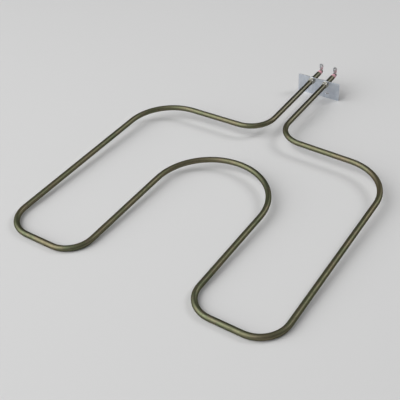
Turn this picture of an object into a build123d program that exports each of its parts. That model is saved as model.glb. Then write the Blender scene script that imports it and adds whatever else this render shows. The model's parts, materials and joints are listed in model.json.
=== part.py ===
from build123d import *

import math
import os


# Lower heating element of a domestic oven, as it rests on a flat surface.
#
# One metal-sheathed tube is bent into an M-shaped loop. Its two legs run back side by side
# through a mounting plate, and end in ceramic beads and upright blade terminals. The front
# of the loop and the lower edge of the plate touch the surface, so the loop leans a little.
#
# The origin is on that surface, under the middle of the element. +X is to the right, +Y runs
# from the loop to the terminals, and +Z is up. Depths are measured along the legs, from the
# centreline of the tube's front run. Heights are measured square to the loop, from the same
# centreline. All sizes are in millimetres.

# Sheath tube
sheath_diameter = 8.0
sheath_wall = 0.6

# Bent loop, to the tube's centreline
back_width = 400.0  # over the two sides, at their back corners
front_width = 406.0  # over the two sides, at the front
finger_gap = 165.0  # between the inner runs, which is also the width of the middle bend
leg_spacing = 24.5
loop_depth = 348.0  # from the front run to the cross runs, where they meet the legs
cross_fall = 5.0  # by which a cross run's outer end lies nearer the front
inner_run = 180.0  # from the front run to the start of the middle bend
shoulder_radius = 39.5
back_corner_radius = 69.0
front_corner_radius = 39.0
inner_corner_radius = 36.5
leg_run = 161.0  # from the cross runs to the plate's front face
sheath_tail = 24.5  # from the plate's front face to the sheath's open ends
sheath_mouth_chamfer = 0.15

# Inside the sheath
packing_gap = 0.05  # radial, between the filling and what it is packed against
coil_diameter = 3.4
pin_diameter = 2.4
cold_length = 110.0  # of each leg, from the sheath's open end to the start of the coil

# Mounting plate
plate_width = 72.0
plate_thickness = 1.5
plate_drop = 24.0  # from the legs' axis to the lower edge
plate_rise = 6.2  # from the legs' axis to the upper edge
plate_corner_radius = 1.0
plate_edge_radius = 0.2  # round the front face, from the blanking tool
slot_length = 7.0
slot_width = 3.2
slot_offset = 15.5  # from the middle of the plate
slot_drop = 15.5  # from the legs' axis

# Bush that holds each leg in the plate
bush_length = 6.0  # in front of the plate
bush_wall = 0.6  # round its neck
bush_nose_diameter = 9.5
bush_flange_diameter = 11.2
bush_flange_thickness = 1.4
bush_nose_radius = 0.5
bush_flange_radius = 0.4
bush_neck_reach = 0.6  # behind the plate
fit_gap = 0.05  # radial, between parts that slide together before they are fixed

# Ceramic end bead
bead_diameter = 7.6
bead_exposed = 5.2
bead_spigot = 9.0
bead_edge_radius = 0.9
pin_exposed = 3.6  # between the bead and the blade terminal

# Blade terminal
tab_width = 6.3
tab_thickness = 0.8
tab_rise = 13.4  # from the leg's axis to the tip
tab_blade_length = 8.0
tab_tip_chamfer = 1.3
tab_eye_diameter = 2.2
tab_eye_drop = 3.6  # from the tip
tab_foot_diameter = 6.8
tab_neck_width = 4.2
rivet_diameter = 3.6
rivet_height = 0.9

# Values that follow from the sizes above
sheath_radius = sheath_diameter / 2
sheath_bore = sheath_radius - sheath_wall
coil_radius = coil_diameter / 2
pin_radius = pin_diameter / 2
leg_offset = leg_spacing / 2

plate_depth = loop_depth + leg_run
sheath_end = plate_depth + sheath_tail
coil_end = sheath_end - cold_length
tab_depth = sheath_end + bead_exposed + pin_exposed
rivet_depth = tab_depth + tab_thickness
pin_end = rivet_depth + rivet_height
rivet_dome_radius = (rivet_diameter**2 / 4 + rivet_height**2) / (2 * rivet_height)

# The loop's lean: its front run and the plate's lower edge both touch the surface.
tilt = math.atan2(plate_drop, plate_depth) - math.asin(
    sheath_radius / math.hypot(plate_depth, plate_drop)
)
rear_y = (pin_end - rivet_dome_radius) * math.cos(tilt) + rivet_dome_radius  # beyond the front run
front_y = (sheath_radius - rear_y) / 2
loop_plane = Plane(
    origin=(0, front_y, sheath_radius),
    x_dir=(1, 0, 0),
    z_dir=(0, -math.sin(tilt), math.cos(tilt)),
)
SIDES = {"left": -1, "right": 1}


def leg_plane(offset, depth):
    """Plane square to the legs that faces the terminals, with its own +Y upwards."""
    return Plane(
        origin=loop_plane.from_local_coords((offset, depth, 0)),
        x_dir=-loop_plane.x_dir,
        z_dir=loop_plane.y_dir,
    )


def turning_plane(side, depth):
    """Loop plane moved to one leg, with its +Y along the leg's axis, for turned parts."""
    origin = loop_plane.from_local_coords((side * leg_offset, depth, 0))
    return Plane(origin=origin, x_dir=loop_plane.x_dir, z_dir=loop_plane.z_dir)


def tube_path(leg_end):
    """Centreline of the bent tube, from one leg's end to the other's."""
    with BuildLine(loop_plane) as centreline:
        for side in SIDES.values():
            corners = [
                (side * leg_offset, leg_end),
                (side * leg_offset, loop_depth),
                (side * back_width / 2, loop_depth - cross_fall),
                (side * front_width / 2, 0),
                (side * finger_gap / 2, 0),
                (side * finger_gap / 2, inner_run),
            ]
            radii = [shoulder_radius, back_corner_radius, front_corner_radius, inner_corner_radius]
            FilletPolyline(*corners, radius=radii)
        ThreePointArc(
            (-finger_gap / 2, inner_run),
            (0, inner_run + finger_gap / 2),
            (finger_gap / 2, inner_run),
        )
    return centreline.line


def section_plane(path):
    """Plane across a path at its start."""
    return Plane(origin=path @ 0, z_dir=path % 0)


os.makedirs("parts", exist_ok=True)

# Sheath: one seamless tube, open at both ends
sheath_path = tube_path(sheath_end)
with BuildPart() as sheath_tube:
    with BuildSketch(section_plane(sheath_path)):
        Circle(sheath_radius)
        Circle(sheath_bore, mode=Mode.SUBTRACT)
    sweep(path=sheath_path)
    mouths = sheath_tube.faces().filter_by(GeomType.PLANE)
    chamfer(mouths.edges().group_by(SortBy.LENGTH)[-1], sheath_mouth_chamfer)
sheath_tube.part.label = "sheath_tube"
export_step(sheath_tube.part, "parts/sheath_tube.step")

# Filling: packed magnesia between the sheath and the coil, and round the pins in both legs
filling_end = sheath_end - bead_spigot
filling_path = tube_path(filling_end)
coil_path = tube_path(coil_end)
with BuildPart() as magnesia_filling:
    with BuildSketch(section_plane(filling_path)):
        Circle(sheath_bore - packing_gap)
    sweep(path=filling_path)
    with BuildSketch(section_plane(coil_path)):
        Circle(coil_radius + packing_gap)
    sweep(path=coil_path, mode=Mode.SUBTRACT)
    for side in SIDES.values():
        with BuildSketch(leg_plane(side * leg_offset, coil_end)):
            Circle(pin_radius + packing_gap)
        extrude(amount=filling_end - coil_end, mode=Mode.SUBTRACT)
magnesia_filling.part.label = "magnesia_filling"
export_step(magnesia_filling.part, "parts/magnesia_filling.step")

# Heating coil: the round outline of its close turns, from pin to pin
with BuildPart() as heating_coil:
    with BuildSketch(section_plane(coil_path)):
        Circle(coil_radius)
    sweep(path=coil_path)
heating_coil.part.label = "heating_coil"
export_step(heating_coil.part, "parts/heating_coil.step")

# Mounting plate: flat sheet with a hole for each bush and one small slot
neck_radius = sheath_radius + fit_gap + bush_wall
with BuildPart() as mounting_plate:
    with BuildSketch(leg_plane(0, plate_depth)) as plate_face:
        with Locations((0, (plate_rise - plate_drop) / 2)):
            Rectangle(plate_width, plate_rise + plate_drop)
        fillet(plate_face.vertices(), plate_corner_radius)
        with Locations((-leg_offset, 0), (leg_offset, 0)):
            Circle(neck_radius + fit_gap, mode=Mode.SUBTRACT)
        with Locations((-slot_offset, -slot_drop)):
            SlotOverall(slot_length, slot_width, mode=Mode.SUBTRACT)
    extrude(amount=plate_thickness)
    front_face = mounting_plate.faces().sort_by(Axis(loop_plane.origin, loop_plane.y_dir))[0]
    fillet(front_face.outer_wire().edges(), plate_edge_radius)
mounting_plate.part.label = "mounting_plate"
export_step(mounting_plate.part, "parts/mounting_plate.step")

for name, side in SIDES.items():
    # Bush: turned, with a stepped nose, a flange on the plate and a neck through it
    with BuildPart() as bush:
        turning = turning_plane(side, plate_depth)
        with BuildSketch(turning):
            with BuildLine():
                nose = Polyline(
                    (sheath_radius + fit_gap, -bush_length),
                    (bush_nose_diameter / 2 - bush_nose_radius, -bush_length),
                )
                nose_edge = JernArc(nose @ 1, (1, 0), bush_nose_radius, 90)
                step = Polyline(
                    nose_edge @ 1,
                    (bush_nose_diameter / 2, -bush_flange_thickness),
                    (bush_flange_diameter / 2 - bush_flange_radius, -bush_flange_thickness),
                )
                flange_edge = JernArc(step @ 1, (1, 0), bush_flange_radius, 90)
                Polyline(
                    flange_edge @ 1,
                    (bush_flange_diameter / 2, 0),
                    (neck_radius, 0),
                    (neck_radius, plate_thickness + bush_neck_reach),
                    (sheath_radius + fit_gap, plate_thickness + bush_neck_reach),
                    nose @ 0,
                )
            make_face()
        revolve(axis=Axis(turning.origin, turning.y_dir))
    bush.part.label = f"bush_{name}"
    export_step(bush.part, f"parts/bush_{name}.step")

    # End bead: ceramic, with a spigot in the sheath's open end
    with BuildPart() as end_bead:
        turning = turning_plane(side, sheath_end)
        with BuildSketch(turning):
            with BuildLine():
                outside = Polyline(
                    (pin_radius + fit_gap, -bead_spigot),
                    (sheath_bore - fit_gap, -bead_spigot),
                    (sheath_bore - fit_gap, 0),
                    (bead_diameter / 2, 0),
                    (bead_diameter / 2, bead_exposed - bead_edge_radius),
                )
                rim = JernArc(outside @ 1, (0, 1), bead_edge_radius, 90)
                Polyline(rim @ 1, (pin_radius + fit_gap, bead_exposed), outside @ 0)
            make_face()
        revolve(axis=Axis(turning.origin, turning.y_dir))
    end_bead.part.label = f"end_bead_{name}"
    export_step(end_bead.part, f"parts/end_bead_{name}.step")

    # Cold pin: welded to the coil's end, with a domed head riveted over behind the terminal
    with BuildPart() as cold_pin:
        turning = turning_plane(side, rivet_depth)
        with BuildSketch(turning):
            with BuildLine():
                shank = Polyline(
                    (0, rivet_height),
                    (0, coil_end - rivet_depth),
                    (pin_radius, coil_end - rivet_depth),
                    (pin_radius, 0),
                    (rivet_diameter / 2, 0),
                )
                RadiusArc(shank @ 1, shank @ 0, -rivet_dome_radius)
            make_face()
        revolve(axis=Axis(turning.origin, turning.y_dir))
    cold_pin.part.label = f"cold_pin_{name}"
    export_step(cold_pin.part, f"parts/cold_pin_{name}.step")

    # Blade terminal: flat strip, upright on the pin, with a round foot, a neck and a blade
    with BuildPart() as terminal_tab:
        with BuildSketch(leg_plane(side * leg_offset, tab_depth)) as tab_face:
            with Locations((0, tab_rise - tab_blade_length / 2)):
                Rectangle(tab_width, tab_blade_length)
            chamfer(tab_face.vertices().group_by(Axis.Y)[-1], tab_tip_chamfer)
            with Locations((0, (tab_rise - tab_blade_length) / 2)):
                Rectangle(tab_neck_width, tab_rise - tab_blade_length)
            Circle(tab_foot_diameter / 2)
            Circle(pin_radius + fit_gap, mode=Mode.SUBTRACT)
            with Locations((0, tab_rise - tab_eye_drop)):
                Circle(tab_eye_diameter / 2, mode=Mode.SUBTRACT)
        extrude(amount=tab_thickness)
    terminal_tab.part.label = f"terminal_tab_{name}"
    export_step(terminal_tab.part, f"parts/terminal_tab_{name}.step")
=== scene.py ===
"""Looks of a lower oven heating element: its finishes, the light, the floor and the camera.

Everything is in metres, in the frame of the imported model.
"""

import json
import math

import bpy
from mathutils import Matrix, Vector


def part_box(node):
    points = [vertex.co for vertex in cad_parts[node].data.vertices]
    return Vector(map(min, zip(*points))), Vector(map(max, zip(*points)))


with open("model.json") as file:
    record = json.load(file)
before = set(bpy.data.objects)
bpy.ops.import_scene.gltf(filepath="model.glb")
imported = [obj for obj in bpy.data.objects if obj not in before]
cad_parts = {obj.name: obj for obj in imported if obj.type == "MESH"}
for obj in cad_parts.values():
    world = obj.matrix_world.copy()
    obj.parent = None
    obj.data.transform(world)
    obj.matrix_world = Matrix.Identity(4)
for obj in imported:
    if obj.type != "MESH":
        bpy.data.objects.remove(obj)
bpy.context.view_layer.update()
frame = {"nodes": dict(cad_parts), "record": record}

SIDES = ("left", "right")

# Camera
CAMERA_PLACE = Vector((0.4729, -0.7809, 0.6615))
CAMERA_AIM = Vector((-0.0122, -0.0893, 0.0))
CAMERA_ROLL = math.radians(-2.47)
CAMERA_LENS_MM = 70.85
SENSOR_MM = 36.0

# Light: a large softbox in front on the left, and a small one behind on the right
WORLD_STRENGTH = 0.16
SOFTBOXES = (  # place, width, height and watts
    (Vector((-1.55, -1.80, 1.90)), 4.40, 4.20, 82.0),
    (Vector((1.60, 2.16, 2.30)), 1.20, 1.20, 12.5),
)
SOFTBOX_SPREAD = math.radians(110.0)

# Floor
FLOOR_COLOUR = (0.62, 0.62, 0.62, 1.0)
FLOOR_ROUGHNESS = 0.9
FLOOR_SPECULAR = 0.2
FLOOR_SIZE = 60.0

# The legs run along the plate's own axis, square to the plate; the loop lies in their plane.
MOUNTS = {mount["name"]: mount for mount in frame["record"]["mounts"]}
LEG_AXIS = Vector(MOUNTS["plate_seat"]["axis"])
LOOP_NORMAL = Vector(MOUNTS["terminal_left"]["axis"])

# Depths between which the sheath changes from its heated finish to its cold one, in the legs
PLATE_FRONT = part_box("mounting_plate")[0][1]
HOT_END = PLATE_FRONT - 0.150
COLD_START = PLATE_FRONT - 0.070

# Sheath: its metal's tint at a glancing angle, and how fine its lines are round and along it
SHEATH_EDGE_TINT = (0.15, 0.15, 0.15, 1.0)
LINES_AROUND = 22.0
LINES_ALONG = 7.0

# Bush: how fine its tool marks are along its axis and across it
MARKS_ALONG = 5200.0
MARKS_ACROSS = 60.0

AXIS_X = (1.0, 0.0, 0.0)
AXIS_Y = (0.0, 1.0, 0.0)

# Sockets of a Mix node that blends colours
MIX_FACTOR = 0
MIX_FIRST = 6
MIX_SECOND = 7
MIX_RESULT = 2


def look_rotation(place, aim, roll=0.0):
    """Rotation of a camera or lamp that looks from place to aim, turned by roll about its view."""
    track = (aim - place).to_track_quat("-Z", "Y")
    return (track.to_matrix() @ Matrix.Rotation(roll, 3, "Z")).to_euler()


def add_camera():
    data = bpy.data.cameras.new("camera")
    data.lens = CAMERA_LENS_MM
    data.sensor_width = SENSOR_MM
    data.sensor_fit = "HORIZONTAL"
    data.clip_start = 0.01
    camera = bpy.data.objects.new("camera", data)
    camera.location = CAMERA_PLACE
    camera.rotation_euler = look_rotation(CAMERA_PLACE, CAMERA_AIM, CAMERA_ROLL)
    bpy.context.scene.collection.objects.link(camera)
    bpy.context.scene.camera = camera


def add_softbox(place, width, height, watts):
    data = bpy.data.lights.new("softbox", "AREA")
    data.shape = "RECTANGLE"
    data.size = width
    data.size_y = height
    data.energy = watts
    data.spread = SOFTBOX_SPREAD
    lamp = bpy.data.objects.new("softbox", data)
    lamp.location = place
    lamp.rotation_euler = look_rotation(place, Vector((0.0, 0.0, 0.0)))
    bpy.context.scene.collection.objects.link(lamp)


def add_world():
    world = bpy.data.worlds.new("studio")
    world.use_nodes = True
    background = world.node_tree.nodes["Background"]
    background.inputs["Color"].default_value = (1.0, 1.0, 1.0, 1.0)
    background.inputs["Strength"].default_value = WORLD_STRENGTH
    bpy.context.scene.world = world


class Finish:
    """A procedural material, with short calls for the nodes that the finishes share."""

    def __init__(self, name, metallic=0.0):
        self.material = bpy.data.materials.new(name)
        self.material.use_nodes = True
        self.tree = self.material.node_tree
        self.shader = self.tree.nodes["Principled BSDF"]
        self.shader.inputs["Metallic"].default_value = metallic
        place = self.tree.nodes.new("ShaderNodeTexCoord")
        self.position = place.outputs["Object"]
        self.normal = place.outputs["Normal"]

    def link(self, source, target):
        self.tree.links.new(source, target)

    def colour(self, source):
        self.link(source, self.shader.inputs["Base Color"])

    def roughness(self, source):
        self.link(source, self.shader.inputs["Roughness"])

    def noise(self, scale, detail=3.0, roughness=0.5, vector=None):
        node = self.tree.nodes.new("ShaderNodeTexNoise")
        node.inputs["Scale"].default_value = scale
        node.inputs["Detail"].default_value = detail
        node.inputs["Roughness"].default_value = roughness
        self.link(vector or self.position, node.inputs["Vector"])
        return node.outputs["Fac"]

    def math(self, operation, first, second=0.0):
        node = self.tree.nodes.new("ShaderNodeMath")
        node.operation = operation
        for socket, value in zip(node.inputs, (first, second)):
            if isinstance(value, bpy.types.NodeSocket):
                self.link(value, socket)
            else:
                socket.default_value = value
        return node.outputs[0]

    def along(self, source, axis):
        """How far a position or a normal reaches along an axis."""
        node = self.tree.nodes.new("ShaderNodeVectorMath")
        node.operation = "DOT_PRODUCT"
        self.link(source, node.inputs[0])
        node.inputs[1].default_value = axis
        return node.outputs["Value"]

    def stretched(self, scale):
        """The position, stretched or squeezed along each axis."""
        node = self.tree.nodes.new("ShaderNodeVectorMath")
        node.operation = "MULTIPLY"
        self.link(self.position, node.inputs[0])
        node.inputs[1].default_value = scale
        return node.outputs["Vector"]

    def join(self, *values):
        node = self.tree.nodes.new("ShaderNodeCombineXYZ")
        for socket, value in zip(node.inputs, values):
            self.link(value, socket)
        return node.outputs["Vector"]

    def levels(self, source, low, high, out_low=0.0, out_high=1.0):
        node = self.tree.nodes.new("ShaderNodeMapRange")
        settings = {"From Min": low, "From Max": high, "To Min": out_low, "To Max": out_high}
        for name, value in settings.items():
            node.inputs[name].default_value = value
        self.link(source, node.inputs["Value"])
        return node.outputs["Result"]

    def ramp(self, source, stops):
        node = self.tree.nodes.new("ShaderNodeValToRGB")
        elements = node.color_ramp.elements
        while len(elements) < len(stops):
            elements.new(0.5)
        for element, (position, colour) in zip(elements, stops):
            element.position = position
            element.color = (*colour, 1.0)
        self.link(source, node.inputs["Fac"])
        return node.outputs["Color"]

    def mix(self, factor, first, second):
        """Blend from the first colour, which is a socket, to the second, which is plain."""
        node = self.tree.nodes.new("ShaderNodeMix")
        node.data_type = "RGBA"
        self.link(factor, node.inputs[MIX_FACTOR])
        self.link(first, node.inputs[MIX_FIRST])
        node.inputs[MIX_SECOND].default_value = (*second, 1.0)
        return node.outputs[MIX_RESULT]

    def bump(self, height, strength, distance):
        """Raise the surface by a height map, over any bump that was added before."""
        node = self.tree.nodes.new("ShaderNodeBump")
        node.inputs["Strength"].default_value = strength
        node.inputs["Distance"].default_value = distance
        self.link(height, node.inputs["Height"])
        target = self.shader.inputs["Normal"]
        if target.is_linked:
            self.link(target.links[0].from_socket, node.inputs["Normal"])
        self.link(node.outputs["Normal"], target)


def oxidised_sheath():
    """Drawn tube dulled by heat, but not in its cold ends: tints, oxide and lengthwise lines."""
    m = Finish("oxidised_sheath", metallic=1.0)
    m.shader.inputs["Specular Tint"].default_value = SHEATH_EDGE_TINT
    depth = m.along(m.position, AXIS_Y)
    cold = m.levels(depth, HOT_END, COLD_START)
    around = m.math("ARCCOSINE", m.along(m.normal, LOOP_NORMAL))
    lines_place = m.join(
        m.math("MULTIPLY", around, LINES_AROUND),
        m.math("MULTIPLY", m.along(m.position, AXIS_X), LINES_ALONG),
        m.math("MULTIPLY", depth, LINES_ALONG),
    )
    lines = m.noise(1.0, detail=4.0, roughness=0.65, vector=lines_place)
    mottle = m.noise(380.0, detail=5.0, roughness=0.62)

    heat_tints = [
        (0.36, (0.172, 0.153, 0.096)),
        (0.50, (0.154, 0.157, 0.093)),
        (0.64, (0.130, 0.143, 0.086)),
    ]
    base = m.ramp(m.noise(24.0, detail=3.0), heat_tints)
    straw = m.noise(150.0, detail=2.0)
    base = m.mix(m.levels(straw, 0.50, 0.66, 0.0, 0.6), base, (0.194, 0.155, 0.110))
    base = m.mix(m.math("MULTIPLY", cold, 0.75), base, (0.190, 0.181, 0.142))
    base = m.mix(m.levels(lines, 0.55, 0.75, 0.0, 0.35), base, (0.205, 0.211, 0.142))
    base = m.mix(m.levels(mottle, 0.54, 0.72, 0.0, 0.5), base, (0.076, 0.071, 0.047))
    m.colour(base)
    dullness = m.levels(mottle, 0.30, 0.75, 0.42, 0.58)
    m.roughness(m.math("SUBTRACT", dullness, m.math("MULTIPLY", cold, 0.12)))
    m.bump(lines, 0.25, 0.00006)
    m.bump(mottle, 0.20, 0.00008)
    return m.material


def turned_steel():
    """Bright turned bush, with tool marks round its axis."""
    m = Finish("turned_steel", metallic=1.0)
    stain = m.noise(240.0, detail=4.0)
    m.colour(m.ramp(stain, [(0.35, (0.56, 0.55, 0.50)), (0.65, (0.40, 0.39, 0.35))]))
    marks_place = m.join(
        m.math("MULTIPLY", m.along(m.position, LEG_AXIS), MARKS_ALONG),
        m.math("MULTIPLY", m.along(m.position, AXIS_X), MARKS_ACROSS),
    )
    marks = m.noise(1.0, detail=2.0, vector=marks_place)
    m.roughness(m.levels(marks, 0.3, 0.7, 0.30, 0.44))
    m.bump(marks, 0.30, 0.00004)
    return m.material


def galvanised_plate():
    """Zinc-coated sheet with a bluish tint: partly the blue of passivated zinc and partly a
    painted reflection of a blue floor. Soft spangle, streaks down its face and small scuffs.
    """
    m = Finish("galvanised_plate", metallic=1.0)
    spangle = m.noise(130.0, detail=2.0)
    # Painted reflection: the blue in these colours is partly the sheet's own passivated zinc and
    # partly a blue floor painted in as if reflected
    base = m.ramp(spangle, [(0.35, (0.610, 0.660, 0.735)), (0.65, (0.690, 0.730, 0.790))])
    streaks = m.noise(55.0, detail=3.0, vector=m.stretched((6.0, 1.0, 0.5)))
    base = m.mix(m.levels(streaks, 0.45, 0.70, 0.0, 0.35), base, (0.570, 0.600, 0.640))
    scuffs = m.noise(900.0, detail=4.0, roughness=0.7, vector=m.stretched((1.0, 1.0, 0.18)))
    base = m.mix(m.levels(scuffs, 0.60, 0.72, 0.0, 0.45), base, (0.830, 0.845, 0.860))
    m.colour(base)
    m.roughness(m.levels(streaks, 0.30, 0.70, 0.27, 0.40))
    m.bump(scuffs, 0.10, 0.00005)
    return m.material


def plated_strip():
    """Plated blade, with the grain of the rolled strip up its face."""
    m = Finish("plated_strip", metallic=1.0)
    tarnish = m.noise(420.0, detail=4.0)
    m.colour(m.ramp(tarnish, [(0.38, (0.760, 0.770, 0.755)), (0.68, (0.600, 0.610, 0.590))]))
    grain = m.noise(1400.0, detail=3.0, vector=m.stretched((1.0, 1.0, 0.08)))
    m.roughness(m.levels(grain, 0.3, 0.7, 0.26, 0.40))
    m.bump(grain, 0.15, 0.00003)
    return m.material


def drawn_rod():
    """Plain steel pin, brown with heat."""
    m = Finish("drawn_rod", metallic=1.0)
    stain = m.noise(600.0, detail=4.0)
    m.colour(m.ramp(stain, [(0.35, (0.200, 0.170, 0.140)), (0.68, (0.330, 0.300, 0.265))]))
    m.roughness(m.levels(stain, 0.3, 0.7, 0.34, 0.48))
    m.bump(stain, 0.10, 0.00004)
    return m.material


def pink_ceramic():
    """Unglazed ceramic: fine grain, paler specks and a few burnt spots."""
    m = Finish("pink_ceramic")
    cloud = m.noise(350.0, detail=3.0)
    base = m.ramp(cloud, [(0.35, (0.580, 0.255, 0.310)), (0.68, (0.740, 0.400, 0.465))])
    grain = m.noise(2400.0, detail=4.0, roughness=0.65)
    base = m.mix(m.levels(grain, 0.56, 0.70, 0.0, 0.5), base, (0.830, 0.620, 0.660))
    burnt = m.noise(520.0, detail=5.0, roughness=0.7)
    base = m.mix(m.levels(burnt, 0.62, 0.72, 0.0, 0.6), base, (0.250, 0.110, 0.100))
    m.colour(base)
    m.roughness(m.levels(grain, 0.3, 0.7, 0.50, 0.72))
    m.bump(grain, 0.25, 0.00008)
    return m.material


def packed_powder():
    """White magnesia, packed hard inside the sheath."""
    m = Finish("packed_powder")
    grain = m.noise(3000.0, detail=4.0)
    m.colour(m.ramp(grain, [(0.3, (0.740, 0.730, 0.700)), (0.7, (0.860, 0.850, 0.820))]))
    m.roughness(m.levels(grain, 0.3, 0.7, 0.80, 0.95))
    m.bump(grain, 0.30, 0.00010)
    return m.material


def resistance_wire():
    """Heater alloy, dull with heat."""
    m = Finish("resistance_wire", metallic=1.0)
    scale = m.noise(900.0, detail=4.0)
    m.colour(m.ramp(scale, [(0.35, (0.340, 0.325, 0.305)), (0.65, (0.470, 0.450, 0.420))]))
    m.roughness(m.levels(scale, 0.3, 0.7, 0.34, 0.50))
    m.bump(scale, 0.15, 0.00005)
    return m.material


def pale_floor():
    """Plain matt floor, even all over."""
    m = Finish("pale_floor")
    m.shader.inputs["Base Color"].default_value = FLOOR_COLOUR
    m.shader.inputs["Roughness"].default_value = FLOOR_ROUGHNESS
    m.shader.inputs["Specular IOR Level"].default_value = FLOOR_SPECULAR
    return m.material


def dress(material, *nodes):
    """Give every material slot of some CAD nodes the same finish."""
    for node in nodes:
        for slot in frame["nodes"][node].material_slots:
            slot.material = material


def pair(name):
    """The left and right nodes of a kind."""
    return [f"{name}_{side}" for side in SIDES]


def add_floor():
    half = FLOOR_SIZE / 2
    mesh = bpy.data.meshes.new("floor")
    corners = [(-half, -half, 0.0), (half, -half, 0.0), (half, half, 0.0), (-half, half, 0.0)]
    mesh.from_pydata(corners, [], [(0, 1, 2, 3)])
    mesh.materials.append(pale_floor())
    floor = bpy.data.objects.new("floor", mesh)
    bpy.context.scene.collection.objects.link(floor)


add_camera()
add_world()
for softbox in SOFTBOXES:
    add_softbox(*softbox)
add_floor()

dress(oxidised_sheath(), "sheath_tube")
dress(galvanised_plate(), "mounting_plate")
dress(turned_steel(), *pair("bush"))
dress(pink_ceramic(), *pair("end_bead"))
dress(plated_strip(), *pair("terminal_tab"))
dress(drawn_rod(), *pair("cold_pin"))
dress(packed_powder(), "magnesia_filling")
dress(resistance_wire(), "heating_coil")

bpy.context.scene.view_settings.view_transform = "Standard"
